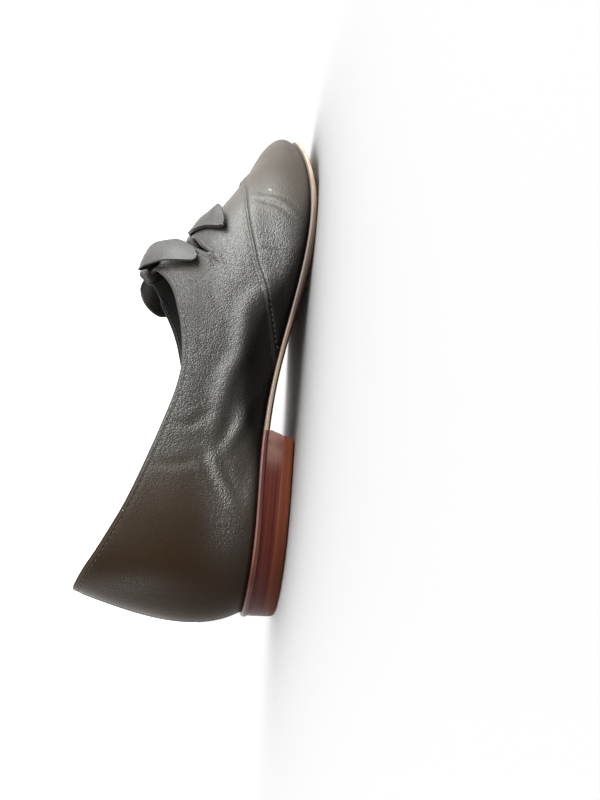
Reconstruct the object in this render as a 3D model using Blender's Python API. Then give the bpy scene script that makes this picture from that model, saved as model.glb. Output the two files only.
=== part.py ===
"""A low-heeled leather flat for the right foot, with two bows tied over the instep.

All sizes are in millimetres: x runs from the heel to the toe, y to the inner side of the foot, z up from
the floor. The finished pieces are turned into metres and centred over their common box.
"""

import math

import bmesh
import bpy
import numpy as np

MM = 0.001
GAP = 0.3
WALL = 1.6
SOLE_MARGIN = 1.5
INSOLE = 2.0
INSOLE_MARGIN = -WALL - 2 * GAP
LIFT = 4.7
BREAST_TOP = 72.0
BREAST_FOOT = 69.0
BOW_THICK = 1.8
BOW_CURL = 1.0
BOW_CLEARANCE = 0.75
KNOT_WIDTH = 6.0
KNOT_THICK = 1.5
KNOT_REACH = 7.3
KNOT_DEPTH = 3.5
KNOT_SQUARENESS = 3.5
KNOT_CLEARANCE = 0.6
# The band's section as shares of its thickness and half width, with its outer edges rounded
KNOT_SECTION = ((0, 1), (0.7, 1), (1, 0.7), (1, -0.7), (0.7, -1), (0, -1))

# How finely the curved pieces are cut up
SPOKE_STEP = 4.6
WALL_STEPS = 4
TOP_STEPS = 5
EDGE_TURNS = np.arange(96) / 48
HEEL_COUNT = 41
BOW_STEP = 3.0
BOW_ACROSS = 5
KNOT_COUNT = 28
LOOKUP_COUNT = 801
SMALL_STEP = 1e-4
SHARP_EDGE = math.radians(35)

# Sections of the last, from the toe's tip to the back of the heel. A spoke rises from the sole's edge
# ("at", half widths "outer" and "inner", height "seat" over an outsole "sole" thick) to the crown ("crown_at",
# "crown_half" beside "ridge", "crown_z"). It starts "wall_up" high with a "bulge" outwards and "lead_low"
# forwards, and it comes in over a "shoulder" that lies "drop" lower and "lead_top" ahead.
LAST_COLUMNS = (
    "at", "outer", "inner", "seat", "sole", "bulge", "wall_up", "lead_low",
    "crown_at", "crown_half", "ridge", "crown_z", "shoulder", "drop", "lead_top",
)
LAST_ROWS = (
    (259, -4, 4, 11.8, 2.4, 0, 8.5, 10, 219, 0, 2, 36.5, 0, 6, 30),
    (251, 6, 15, 10.4, 2.4, 2, 10.5, 8, 218.5, 0.6, 2, 37, 10, 5.5, 20),
    (233, 19, 27.5, 8.0, 2.5, 3, 14, 3, 216, 0.6, 2, 38, 16.5, 4, 8),
    (206, 34, 37, 5.1, 2.8, 4, 19, 0, 205, 0.6, 2, 43.5, 20.5, 2, 0),
    (170, 41, 39, 3.0, 3.3, 4, 24, 0, 177, 0.6, 2, 59, 24, 0, 0),
    (134, 34, 33, 6.2, 2.8, 6.5, 26, 0, 150, 0.6, 1, 80, 22, 4, 0),
    (100, 27, 25, 11.4, 2.4, 10, 24, 0, 118, 12, 0, 88, 18, 16, 0),
    (68, 26, 25, 13.7, 2.6, 8, 22, 0, 74, 21, 0, 88, 9, 22, 0),
    (32, 27, 27, 13.0, 2.8, 6, 22, 0, 33, 20, 0, 88, 8, 24, 0),
    (8, 16.5, 16.5, 13.2, 2.8, 5, 20, -8, 10.5, 11.5, 0, 88, 4, 26, -4),
    (1, 0, 0, 13.5, 2.8, 0, 20, -12, 6, 0, 0, 88, 0, 26, -7),
)
TIP = LAST_ROWS[0][0]
BACK = LAST_ROWS[-1][0]

# The topline from the toe to the heel, the same on both sides of the foot. Each row is a spoke of the
# pattern (crown, up, foot): it starts from the sole's edge at the length foot, climbs straight to the waist
# line, and ends the share up of the way to the crown, on the last's spoke that meets its ridge at crown.
WAIST_UP = 0.42
KEYHOLE = (
    (219, 1.0, TIP),
    (217.5, 0.965, 251),
    (212, 0.953, 238),
    (203, 0.966, 220),
    (194.5, 0.956, 206),
    (190.8, 0.952, 200),
    (189.4, 0.967, 197),
)
FRONT_STRAP = (
    (188.8, 0.986, 194),
    (180.3, 0.986, 185),
)
EYE_FRONT = (
    (179.8, 0.945, 181),
    (175.5, 0.83, 172),
    (170.5, 0.68, 163.5),
    (165.5, 0.535, 155),
    (162.3, 0.485, 152.5),
    (160.3, 0.478, 149.3),
)
EYE_REAR = (
    (159.6, 0.5, 146.3),
    (160.8, 0.54, 142.6),
    (163.5, 0.631, 140.8),
    (165, 0.75, 139),
    (165.2, 0.87, 137.8),
    (164, 0.95, 136.6),
)
REAR_STRAP = (
    (163.7, 0.986, 136),
    (156.3, 0.986, 134.5),
)
COLLAR = (
    (155.9, 0.95, 133.8),
    (154.8, 0.87, 132.8),
    (152.8, 0.78, 131.2),
    (146.5, 0.644, 127.5),
    (140.2, 0.578, 122.5),
    (130.9, 0.53, 114),
    (123.1, 0.503, 107),
    (111.3, 0.481, 97),
    (101.5, 0.475, 89),
    (88.1, 0.494, 78.5),
    (72.3, 0.537, 65),
    (56.2, 0.588, 51),
    (34.4, 0.675, 32),
    (19.8, 0.775, 17),
    (10.5, 0.855, 6),
    (6, 0.9, BACK),
)
TOPLINE_ROWS = KEYHOLE + FRONT_STRAP + EYE_FRONT + EYE_REAR + REAR_STRAP + COLLAR

# Edges of the flat layers, from the top down (inset, depth): set in from the outline, share of the thickness
OUTSOLE_EDGE = ((0.5, 0.0), (0.0, 0.25), (0.0, 0.7), (1.0, 1.0))
STACK_EDGE = ((0.5, 0.0), (0.8, 1.0))
LIFT_EDGE = ((0.8, 0.0), (0.9, 0.65), (1.3, 0.88), (2.6, 1.0))
INSOLE_EDGE = ((0.4, 0.0), (0.0, 0.3), (0.0, 1.0))

# A bow's leaves, from the knot outwards: "out" sideways, "rise" and "ahead" from the middle of the bow,
# "width" of the leaf, "dip" of its width as a share of the instep's slope, "swing" of its front edge inwards
LEAF_COLUMNS = ("out", "rise", "ahead", "width", "dip", "swing")
BOW_WAIST = (
    (0, 0, 0, 8.6, 1, 0),
    (4.2, 0.2, -0.4, 8.6, 1, 0),
)
FRONT_LEAF = BOW_WAIST + (
    (7, 2.2, -3, 8.8, 0.9, 0),
    (12, 2.1, -4.6, 10, 0.85, 0.05),
    (18, -0.8, -6, 12.5, 0.75, 0.1),
    (25, -5.6, -6.6, 15, 0.55, 0.2),
    (30, -9, -8.4, 15.5, 0.45, 0.35),
    (32.6, -11, -9.8, 14, 0.4, 0.4),
    (33.4, -11.7, -10.4, 11, 0.4, 0.4),
)
REAR_LEAF_OUTER = BOW_WAIST + (
    (6, 3.5, -2.5, 10, 0.7, 0),
    (9, 5.2, -3, 13, 0.25, 0),
    (13, 2.8, -2, 15, 0.25, 0.05),
    (18, -3, -2.3, 15.5, 0.3, 0.1),
    (22.5, -9, -3.2, 15, 0.3, 0.2),
    (26, -14.8, -5.5, 12.5, 0.25, 0.3),
    (27.8, -17.8, -7.5, 9, 0.25, 0.35),
)
REAR_LEAF_INNER = BOW_WAIST + (
    (6, 3.5, -2.5, 10, 0.7, 0),
    (9, 5.2, -3, 13, 0.25, 0),
    (14, 5.4, -2.5, 15, 0.2, 0.05),
    (20, 3.6, -3.5, 16, 0.15, 0.1),
    (25, 0, -5, 15, 0.1, 0.1),
    (28, -4, -6, 12, 0.05, 0.1),
    (29.3, -6.5, -6.5, 7, 0.05, 0.1),
)
BOWS = (
    ("front", 184.5, FRONT_LEAF, FRONT_LEAF),
    ("rear", 160.0, REAR_LEAF_OUTER, REAR_LEAF_INNER),
)

# Colour, roughness and metallic value of each material
MATERIALS = {
    "black_leather": ((0.028, 0.026, 0.025), 0.42, 0.0),
    "lining_leather": ((0.02, 0.019, 0.019), 0.6, 0.0),
    "sole_leather": ((0.36, 0.2, 0.11), 0.5, 0.0),
    "heel_leather": ((0.16, 0.045, 0.03), 0.35, 0.0),
    "lift_leather": ((0.42, 0.22, 0.13), 0.5, 0.0),
}


def round_spline(knots, values, period=2.0):
    """Smooth closed curve through the values at the knots, as a function of the turn."""
    knots = np.asarray(knots, float)
    values = np.asarray(values, float)
    count = len(knots)
    step = np.diff(np.append(knots, knots[0] + period))
    slope = (np.roll(values, -1, 0) - values) / step[:, None]
    system = np.zeros((count, count))
    for i in range(count):
        system[i, i - 1] += step[i - 1]
        system[i, i] += 2 * (step[i - 1] + step[i])
        system[i, (i + 1) % count] += step[i]
    bend = np.linalg.solve(system, 6 * (slope - np.roll(slope, 1, 0)))

    def curve(turn):
        turn = np.mod(np.asarray(turn, float) - knots[0], period) + knots[0]
        i = np.clip(np.searchsorted(knots, turn, side="right") - 1, 0, count - 1)
        j = (i + 1) % count
        part = (turn - knots[i])[..., None]
        span = step[i][..., None]
        lead = slope[i] - span * (2 * bend[i] + bend[j]) / 6
        return values[i] + part * (lead + part * (bend[i] / 2 + part * (bend[j] - bend[i]) / (6 * span)))

    return curve


def smooth_path(points, step, *places):
    """Rounded path through the rows of points, cut up so that no piece is much longer than step.

    The lengths are the longest ones measured on the places. The first and last rows only steer the ends.
    """
    chord = np.max([np.linalg.norm(np.diff(place, axis=0), axis=1) for place in places], axis=0)
    knots = np.append(0, np.cumsum(np.sqrt(chord)))
    path = []
    for k in range(1, len(points) - 2):
        p0, p1, p2, p3 = points[k - 1:k + 3]
        t0, t1, t2, t3 = knots[k - 1:k + 3]
        ahead = (t2 - t1) * ((p1 - p0) / (t1 - t0) - (p2 - p0) / (t2 - t0)) + (p2 - p1)
        behind = (t2 - t1) * ((p3 - p2) / (t3 - t2) - (p3 - p1) / (t3 - t1)) + (p2 - p1)
        cuts = max(1, round(chord[k] / step))
        for t in np.arange(cuts) / cuts:
            path.append(
                p1 + t * ahead
                + t * t * (3 * (p2 - p1) - 2 * ahead - behind)
                + t ** 3 * (2 * (p1 - p2) + ahead + behind)
            )
    return np.array(path + [points[-2]])


def turn_at(x):
    """Turn round the sole's edge, on the outer side, at the length x: 0 at the toe, 1 at the heel."""
    share = (np.asarray(x, float) - BACK) / (TIP - BACK)
    return np.arccos(np.clip(2 * share - 1, -1, 1)) / math.pi


class Last:
    """The form that the shoe is built on: turn 0 to 1 runs down the outer side, 1 to 2 back up the inner."""

    def __init__(self):
        rows = [dict(zip(LAST_COLUMNS, row)) for row in LAST_ROWS]
        spokes = [(turn_at(row["at"]), row, -1) for row in rows]
        spokes += [(2 - turn_at(row["at"]), row, 1) for row in rows[-2:0:-1]]
        knots = [turn for turn, _, _ in spokes]
        controls = np.array([self.spoke_controls(row, side) for _, row, side in spokes])
        self.rings = [round_spline(knots, controls[:, k]) for k in range(4)]
        self.outer_turns = np.linspace(1, 0, LOOKUP_COUNT)
        at, sole = (np.array([row[column] for row in rows[::-1]]) for column in ("at", "sole"))
        self.sole_thickness = lambda x: np.interp(x, at, sole)

    @staticmethod
    def spoke_controls(row, side):
        half = row["outer"] if side < 0 else row["inner"]
        crown_y = row["ridge"] + side * row["crown_half"]
        return (
            (row["at"], side * half, row["seat"]),
            (row["at"] + row["lead_low"], side * (half + row["bulge"]), row["seat"] + row["wall_up"]),
            (row["crown_at"] + row["lead_top"], crown_y + side * row["shoulder"], row["crown_z"] - row["drop"]),
            (row["crown_at"], crown_y, row["crown_z"]),
        )

    def point(self, turn, up):
        turn, up = np.broadcast_arrays(np.asarray(turn, float), np.asarray(up, float))
        p0, p1, p2, p3 = (ring(turn) for ring in self.rings)
        t = up[..., None]
        s = 1 - t
        return s ** 3 * p0 + 3 * s * s * t * p1 + 3 * s * t * t * p2 + t ** 3 * p3

    def normal(self, turn, up):
        up = np.clip(up, SMALL_STEP, 1 - SMALL_STEP)
        along = self.point(turn + SMALL_STEP, up) - self.point(turn - SMALL_STEP, up)
        rise = self.point(turn, up + SMALL_STEP) - self.point(turn, up - SMALL_STEP)
        out = np.cross(rise, along)
        return out / np.linalg.norm(out, axis=-1, keepdims=True)

    def crown_turn(self, x):
        """Turn of the spoke that meets the crown line at the length x."""
        return np.interp(x, self.rings[3](self.outer_turns)[:, 0], self.outer_turns)

    def crown(self, x):
        """The ridge of the instep at the length x, and its downhill angle."""
        here, there = (self.rings[3](self.crown_turn(x + move)) for move in (0, 1))
        ridge = (here + self.rings[3](2 - self.crown_turn(x))) / 2
        return ridge, math.atan2(here[2] - there[2], 1)

    def seat(self, x):
        """Height of the sole's upper face at the length x."""
        edge = self.rings[0](self.outer_turns)
        return np.interp(x, edge[:, 0], edge[:, 2])

    def edge(self, turn, margin):
        """The sole's outline in plan, moved outwards by the margin."""
        along = (self.rings[0](turn + SMALL_STEP) - self.rings[0](turn - SMALL_STEP))[:, :2]
        along /= np.linalg.norm(along, axis=1, keepdims=True)
        return self.rings[0](turn)[:, :2] + margin * np.stack([-along[:, 1], along[:, 0]], 1)


def piece(name, rings, slot, ends):
    """Mesh object lofted through rings of points. Its ends are "joined", or capped "flat" or "pointed"."""
    bm = bmesh.new()
    loops = [[bm.verts.new(point * MM) for point in ring] for ring in rings]
    pairs = list(zip(loops, loops[1:]))
    if ends == "joined":
        pairs.append((loops[-1], loops[0]))
    else:
        cap(bm, loops[0], ends)
        cap(bm, loops[-1], ends)
    for one, other in pairs:
        for i in range(len(one)):
            bm.faces.new((one[i - 1], one[i], other[i], other[i - 1]))
    bmesh.ops.recalc_face_normals(bm, faces=bm.faces)
    mesh = bpy.data.meshes.new(name)
    bm.to_mesh(mesh)
    bm.free()
    mesh.shade_smooth()
    mesh.set_sharp_from_angle(angle=SHARP_EDGE)
    mesh.materials.append(bpy.data.materials[slot])
    shoe_piece = bpy.data.objects.new(name, mesh)
    bpy.context.scene.collection.objects.link(shoe_piece)
    return shoe_piece


def cap(bm, loop, ends):
    """Closes a loop with rungs from side to side, from its first edge, or from its first point if pointed."""
    low, high = 0, len(loop) - 1
    if ends == "pointed":
        low = 1
        bm.faces.new((loop[0], loop[low], loop[high]))
    while high - low > 2:
        bm.faces.new((loop[low], loop[low + 1], loop[high - 1], loop[high]))
        low, high = low + 1, high - 1
    if high - low == 2:
        bm.faces.new((loop[low], loop[low + 1], loop[high]))


def pattern_spokes(last):
    """The upper's spokes all round: turn at the topline, share of the way up, turn at the sole's edge."""
    crown, up, foot = np.array(TOPLINE_ROWS).T
    rows = np.stack([last.crown_turn(crown), up, turn_at(foot)], 1)
    before = rows[1] * (-1, 1, -1)
    after = np.array((2, 0, 2)) + rows[-2] * (-1, 1, -1)
    rows = np.vstack([before, rows, after])
    ends = last.point(rows[:, 0], rows[:, 1]), last.point(rows[:, 2], 0)
    outer = smooth_path(rows, SPOKE_STEP, *ends)
    inner = np.array((2, 0, 2)) + outer[-2:0:-1] * (-1, 1, -1)
    return np.vstack([outer, inner])


def build_upper(last):
    """Vamp and quarters as one wall, from the sole's edge to the topline and back down its inside."""
    top_turn, top_up, foot_turn = pattern_spokes(last).T
    outside, inside = [], []
    for share in np.append(np.arange(-WALL_STEPS, 0) / WALL_STEPS, np.arange(TOP_STEPS + 1) / TOP_STEPS):
        fan = max(share, 0)
        turn = foot_turn + fan * (top_turn - foot_turn)
        up = WAIST_UP * (1 + min(share, 0)) + fan * (top_up - WAIST_UP)
        skin = last.point(turn, up) + (0, 0, GAP)
        outside.append(skin)
        inside.append(skin - WALL * last.normal(turn, up))
    return piece("upper", outside + inside[::-1], "black_leather", ends="joined")


def layer(name, slot, edge_rows, ends, outline, top, foot):
    """Flat layer of the bottom: rings down its edge, between the heights top(x) and foot(x)."""
    rings = []
    for inset, depth in edge_rows:
        plan = outline(inset, depth)
        upper_z, lower_z = top(plan[:, 0]), foot(plan[:, 0])
        rings.append(np.column_stack([plan, upper_z + depth * (lower_z - upper_z)]))
    return piece(name, rings, slot, ends)


def outsole_foot(last, x):
    """Underside of the outsole: level with the floor under the ball of the foot."""
    return np.maximum(last.seat(x) - last.sole_thickness(x), 0)


def build_outsole(last):
    return layer(
        "outsole", "sole_leather", OUTSOLE_EDGE, "pointed",
        lambda inset, depth: last.edge(EDGE_TURNS, SOLE_MARGIN - inset),
        last.seat,
        lambda x: outsole_foot(last, x),
    )


def build_insole(last):
    return layer(
        "insole", "lining_leather", INSOLE_EDGE, "pointed",
        lambda inset, depth: last.edge(EDGE_TURNS, INSOLE_MARGIN - inset),
        lambda x: last.seat(x) + GAP + INSOLE,
        lambda x: last.seat(x) + GAP,
    )


def heel_outline(last, inset, share):
    """Outline of the heel in plan, cut straight across at the breast, share of the way down its slant."""
    start = turn_at(BREAST_TOP + share * (BREAST_FOOT - BREAST_TOP))
    return last.edge(np.linspace(start, 2 - start, HEEL_COUNT), SOLE_MARGIN - inset)


def build_heel(last):
    stack_share = 1 - LIFT / outsole_foot(last, BREAST_TOP)
    stack = layer(
        "heel_stack", "heel_leather", STACK_EDGE, "flat",
        lambda inset, depth: heel_outline(last, inset, depth * stack_share),
        lambda x: outsole_foot(last, x) - GAP,
        lambda x: np.full_like(x, LIFT + GAP),
    )
    lift = layer(
        "heel_lift", "lift_leather", LIFT_EDGE, "flat",
        lambda inset, depth: heel_outline(last, inset, stack_share + depth * (1 - stack_share)),
        lambda x: np.full_like(x, LIFT),
        np.zeros_like,
    )
    return stack, lift


class Knot:
    """Where a bow is tied on the instep: directions ahead, sideways and up, and heights over the straps."""

    def __init__(self, last, at):
        self.ridge, downhill = last.crown(at)
        self.slope = math.tan(downhill)
        self.ahead = np.array((math.cos(downhill), 0, -math.sin(downhill)))
        self.side = np.array((0, 1, 0))
        self.up = np.array((math.sin(downhill), 0, math.cos(downhill)))
        self.bow_middle = BOW_CLEARANCE + BOW_THICK / 2
        self.band_top = self.bow_middle + BOW_THICK / 2 + KNOT_CLEARANCE


def leaf_path(knot, rows, side):
    """Rows of a leaf as its middle point, its width and the direction of its width."""
    path = []
    for row in rows:
        leaf = dict(zip(LEAF_COLUMNS, row))
        across = np.array((1, -side * leaf["swing"], -leaf["dip"] * knot.slope))
        place = (leaf["ahead"], side * leaf["out"], leaf["rise"])
        middle = knot.ridge + knot.up * knot.bow_middle + place
        path.append((*middle, leaf["width"], *(across / np.linalg.norm(across))))
    return path


def build_bow(name, knot, outer_rows, inner_rows):
    """One strip of leather that runs from leaf to leaf through its knot, flat there and curled outside it."""
    rows = np.array(leaf_path(knot, inner_rows, 1)[::-1] + leaf_path(knot, outer_rows, -1)[1:])
    rows = np.vstack([2 * rows[0] - rows[1], rows, 2 * rows[-1] - rows[-2]])
    path = smooth_path(rows, BOW_STEP, rows[:, :3])
    middle, width, across = path[:, :3], path[:, 3:4], path[:, 4:]
    out = np.cross(np.gradient(middle, axis=0), across)
    out /= np.linalg.norm(out, axis=1, keepdims=True)
    curl = BOW_CURL * np.clip(width / width[len(width) // 2] - 1, 0, 1)
    top, under = [], []
    for share in np.linspace(-1, 1, BOW_ACROSS):
        line = middle + across * width * share / 2 - out * curl * share ** 2
        top.append(line + out * BOW_THICK / 2)
        under.append(line - out * BOW_THICK / 2)
    return piece(name, np.stack(top + under[::-1], 1), "black_leather", ends="flat")


def build_knot(name, knot):
    """Band round the waist of a bow and the two straps under it."""
    centre = knot.ridge + knot.up * (knot.band_top - KNOT_DEPTH)
    rings = []
    for angle in np.linspace(0, 2 * math.pi, KNOT_COUNT, endpoint=False):
        reach, depth = (
            math.copysign(abs(share) ** (2 / KNOT_SQUARENESS), share)
            for share in (math.cos(angle), math.sin(angle))
        )
        ring = []
        for thick, half in KNOT_SECTION:
            along = (KNOT_REACH + thick * KNOT_THICK) * reach
            above = (KNOT_DEPTH + thick * KNOT_THICK) * depth
            ring.append(centre + knot.ahead * along + knot.up * above + knot.side * half * KNOT_WIDTH / 2)
        rings.append(ring)
    return piece(name, rings, "black_leather", ends="joined")


def make_materials():
    for slot, (colour, roughness, metallic) in MATERIALS.items():
        material = bpy.data.materials.new(slot)
        material.use_nodes = True
        shader = material.node_tree.nodes["Principled BSDF"]
        shader.inputs["Base Color"].default_value = (*colour, 1)
        shader.inputs["Roughness"].default_value = roughness
        shader.inputs["Metallic"].default_value = metallic


def centre(pieces):
    """Hangs the pieces on an empty that brings the middle of their box over the origin."""
    corners = np.array([corner for shoe_piece in pieces for corner in shoe_piece.bound_box])
    low, high = corners.min(axis=0), corners.max(axis=0)
    shoe = bpy.data.objects.new("shoe", None)
    bpy.context.scene.collection.objects.link(shoe)
    shoe.location = (-(low[0] + high[0]) / 2, -(low[1] + high[1]) / 2, -low[2])
    for shoe_piece in pieces:
        shoe_piece.parent = shoe


def main():
    for old in list(bpy.data.objects):
        bpy.data.objects.remove(old)
    make_materials()
    last = Last()
    pieces = [build_outsole(last), *build_heel(last), build_insole(last), build_upper(last)]
    for place, at, outer_rows, inner_rows in BOWS:
        knot = Knot(last, at)
        pieces.append(build_bow(place + "_bow", knot, outer_rows, inner_rows))
        pieces.append(build_knot(place + "_knot", knot))
    centre(pieces)


main()
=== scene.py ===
"""Looks of a black leather flat: sewn upper, bows, stitching, sock, sole, stacked heel and a studio.

The shoe's frame is in metres: +X to the toe, +Y to the inner side of the foot, +Z up from the floor.
Tables of places on the shoe are in millimetres.
"""

import math

import bmesh
import bpy
import numpy as np
from bpy.props import FloatProperty, FloatVectorProperty, PointerProperty
from mathutils import Matrix, Vector
from mathutils.geometry import interpolate_bezier
from mathutils.kdtree import KDTree


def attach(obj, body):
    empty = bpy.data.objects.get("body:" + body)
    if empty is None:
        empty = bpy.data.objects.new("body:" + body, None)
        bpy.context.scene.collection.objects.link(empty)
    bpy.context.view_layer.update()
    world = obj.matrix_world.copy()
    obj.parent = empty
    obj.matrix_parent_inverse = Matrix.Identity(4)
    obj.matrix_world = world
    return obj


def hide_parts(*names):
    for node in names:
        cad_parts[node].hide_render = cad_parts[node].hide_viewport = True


bl_info = {
    "name": "Leather flat with bows",
    "version": (1, 0, 0),
    "blender": (4, 5, 0),
    "location": "3D View > Sidebar > Flat",
    "description": "Dresses the solids of a low-heeled leather flat and sets up its studio",
    "category": "Object",
}

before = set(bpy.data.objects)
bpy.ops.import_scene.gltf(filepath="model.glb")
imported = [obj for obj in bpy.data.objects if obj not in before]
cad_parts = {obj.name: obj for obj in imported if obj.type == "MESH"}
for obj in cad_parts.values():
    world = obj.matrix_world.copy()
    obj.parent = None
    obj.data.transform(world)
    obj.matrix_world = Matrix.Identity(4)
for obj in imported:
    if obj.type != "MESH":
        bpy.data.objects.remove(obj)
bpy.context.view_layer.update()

MM = 0.001
OUTER, INNER = -1, 1

# Skins of the upper, used as the order of its materials
SKIN, LINING, RIM = 0, 1, 2

# Edge of the vamp, where it laps over the quarters, from the sole on the outer side up to the throat
LAP_OUTER = (
    (-48, -22.5, 7.5), (-38, -24.4, 10), (-29, -26.2, 11.8), (-20.5, -28.2, 13.5), (-11.5, -30.5, 15.6),
    (-1.2, -32.8, 18.2), (7.2, -34.3, 21), (12.6, -35.1, 23.4), (18.4, -35.5, 25.7), (25.4, -35.8, 27.7),
    (31.1, -35.9, 29.3), (37.5, -35.3, 30.9), (43.8, -34.4, 32.2), (50.1, -32.9, 33.4), (60.7, -28.8, 34.5),
    (70.6, -23, 35.6), (79.5, -14.5, 36.2), (85.5, -6, 36.6),
)
THROAT = (87.5, 2.8, 36.8)

# Places across the shoe: the ridge of the instep, and the middle of heel and sock
RIDGE_Y = 2.8
MIDDLE_Y = 0.8

# Cuts that carry the shape of the vamp's edge, and how far a stitch row's side cuts lie from it
LAP_CUTS = (-1.2, -0.35, 0, 0.3, 0.9)
LAST_LAP_CUT = 3
BESIDE_ROW = 0.3

# Distance up to which the skin counts as near the vamp's edge
NEAR_LAP = 12

# Largest step of a value along an edge that is cut, and how near to its level a cut point lies
LONGEST_STEP = 8
ON_LEVEL = 1e-4

# Depth that no trough passes, so that the lining stays covered
DEEPEST = 1.05

# Pull that draws the eye's front edge back, and the line x = a + b z that bounds it behind
EYE_PULL = ((33, -25.5, 49.5), 9, (-4.3, -0.3, 0.3))
EYE_REAR = (-29.9, 1.2)

# Creases of the upper by side: width, rise (a trough if negative), then places along and up the shoe
SIDE_CREASES = (
    (OUTER, 1.3, 0.6, ((57, 30), (54.6, 24.4), (52.6, 19.9), (50.2, 16), (45.8, 12), (42, 8.5))),
    (OUTER, 1.2, -0.65, ((54.5, 29), (52.2, 24), (50, 19.4), (47.6, 15.4), (43.6, 11.6), (40, 8.5))),
    (OUTER, 3.4, 1.5, ((10, 19.5), (4, 21.7), (-3.2, 26.2), (-14.7, 26.6), (-24.9, 26.3), (-29.9, 28.2),
                       (-35.8, 30.9), (-44.2, 32.3), (-53.1, 32.9), (-60, 34))),
    (OUTER, 4.6, -1.6, ((6, 14), (-7, 18.5), (-20, 19), (-33, 20.5), (-45, 21), (-54, 20.5))),
    (OUTER, 1.9, -1.0, ((-31, 24), (-41.1, 26.4), (-48.4, 27.4), (-55.6, 28.4), (-62.7, 29.8),
                        (-68.3, 32.5))),
    (OUTER, 2.0, 1.25, ((-39, 17.5), (-44.5, 20), (-47.8, 20.9), (-56.6, 22.9), (-62.3, 25.1), (-67, 27))),
    (OUTER, 1.7, 0.9, ((-68.5, 34.4), (-72.7, 32.3), (-77.3, 30.2), (-82.6, 27.2), (-86.6, 24.3),
                       (-91, 22.4))),
    (OUTER, 1.3, -0.6, ((-70, 37), (-74, 36), (-79, 33.6), (-84, 30.6), (-89, 27))),
    (OUTER, 0.9, -0.35, ((-74, 28.5), (-78, 26.4), (-82, 23.6), (-85, 20.6))),
    (OUTER, 2.4, 0.8, ((-71, 14.6), (-77.4, 15), (-81.6, 15.3), (-87.3, 15.5), (-94, 16))),
    (OUTER, 0.9, -0.35, ((-46, 33), (-53, 30.5), (-60, 29))),
    (OUTER, 0.9, -0.35, ((-37, 34), (-45, 36), (-55, 36))),
    (OUTER, 0.8, -0.3, ((-50, 40), (-57, 37), (-66, 37))),
    (OUTER, 2.0, -0.28, ((-76.4, 61), (-76.7, 49.8), (-75.4, 43.9), (-72.8, 38.3), (-66, 32))),
    (OUTER, 1.8, -0.5, ((-60, 51), (-59.3, 43.3), (-55.5, 39.1), (-50, 32))),
    (OUTER, 1.1, -0.6, ((24, 47), (20.8, 45.1), (16, 42))),
    (OUTER, 1.4, -0.55, ((23, 45.5), (16.7, 43.1), (8, 41.5))),
    (OUTER, 1.5, -0.45, ((26, 43), (20, 38.5), (12, 35))),
    (OUTER, 1.4, -0.4, ((19, 47), (11, 48), (2, 47))),
    (OUTER, 1.4, -0.4, ((17, 55), (11.9, 51.1), (8.4, 50.2), (5, 53.5))),
    (OUTER, 1.6, -0.4, ((10, 46), (0, 41), (-8, 38))),
    (OUTER, 1.0, -0.4, ((26.5, 19.5), (23, 16.1), (19, 12.5))),
    (OUTER, 1.0, -0.4, ((19.5, 20.5), (15.7, 17.1), (12, 13))),
    (OUTER, 0.9, -0.35, ((25, 15.5), (22, 12.4), (19, 9.5))),
    (OUTER, 1.0, -0.3, ((23, 25), (25, 20.8), (24, 16))),
    (OUTER, 1.2, -0.35, ((33, 24), (31, 18), (27, 12))),
    (OUTER, 1.4, -0.3, ((-18, 50), (-24, 43), (-27, 36))),
    (OUTER, 1.6, -0.3, ((-36, 48), (-40, 42), (-44, 35))),
    (INNER, 1.7, 0.5, ((59, 30), (57, 24), (53, 17), (49, 12), (46, 9))),
    (INNER, 1.5, -0.55, ((56, 29), (54, 23), (50.5, 17), (46, 12), (42, 9))),
    (INNER, 4.2, 1.4, ((10, 20), (-2, 25), (-16, 27), (-30, 28), (-48, 33))),
    (INNER, 5.5, -1.3, ((6, 13), (-10, 16), (-25, 18), (-42, 20), (-54, 20))),
    (INNER, 2.6, -1.4, ((-28, 22), (-38, 26), (-50, 28), (-60, 32), (-70, 39))),
    (INNER, 2.8, 1.2, ((-40, 20), (-52, 24), (-62, 27), (-72, 33), (-84, 26))),
    (INNER, 2.0, -0.45, ((-74, 61), (-75, 48), (-73, 40), (-66, 33))),
    (INNER, 1.8, -0.45, ((-57, 50), (-56, 43), (-50, 34))),
    (INNER, 1.2, -0.55, ((24, 46), (18, 43), (9, 41))),
    (INNER, 1.5, -0.45, ((25, 43), (18, 38), (11, 35))),
    (INNER, 1.5, -0.4, ((16, 53), (10, 50), (3, 51))),
    (INNER, 1.0, -0.4, ((27, 19), (22, 15), (18, 11))),
    (INNER, 1.0, -0.35, ((19, 19), (15, 15), (11, 11))),
)

# How strong the grain shows along the shoe: fine on the stiff counter and the toe, coarse over the waist
GRAIN_PLACES = (-133, -88, -60, -30, 0, 35, 62, 133)
GRAIN_SHARES = (0.22, 0.28, 0.6, 0.85, 0.95, 0.65, 0.42, 0.4)

# How far the dye is faded along the shoe, how brown it has gone and how it shines
FADE_PLACES = (-133, -105, -75, -45, 0, 60, 95, 133)
FADE_SHARES = (0.05, 0.1, 0.25, 0.6, 0.9, 0.85, 0.7, 0.6)
BROWN_PLACES = (-133, -92, -70, -50, 40, 70, 133)
BROWN_SHARES = (1.0, 0.9, 0.5, 0.25, 0.2, 0.8, 1.0)
GLOSS_PLACES = (-133, -98, -80, -60, -20, 40, 62, 80, 133)
GLOSS_SHARES = (0.12, 0.12, 0.3, 0.5, 0.5, 0.45, 0.3, 0.12, 0.08)

# Height along the shoe below which the sides are painted dark as painted shade: less faded, less brown and
# almost without shine
PAINTED_SHADE_PLACES = (-133, -95, -75, -58, -45, -25, -7, 10, 30, 60, 133)
PAINTED_SHADE_HEIGHTS = (9, 11, 15, 21, 27, 26, 23, 15, 8, 5, 4)
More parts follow.
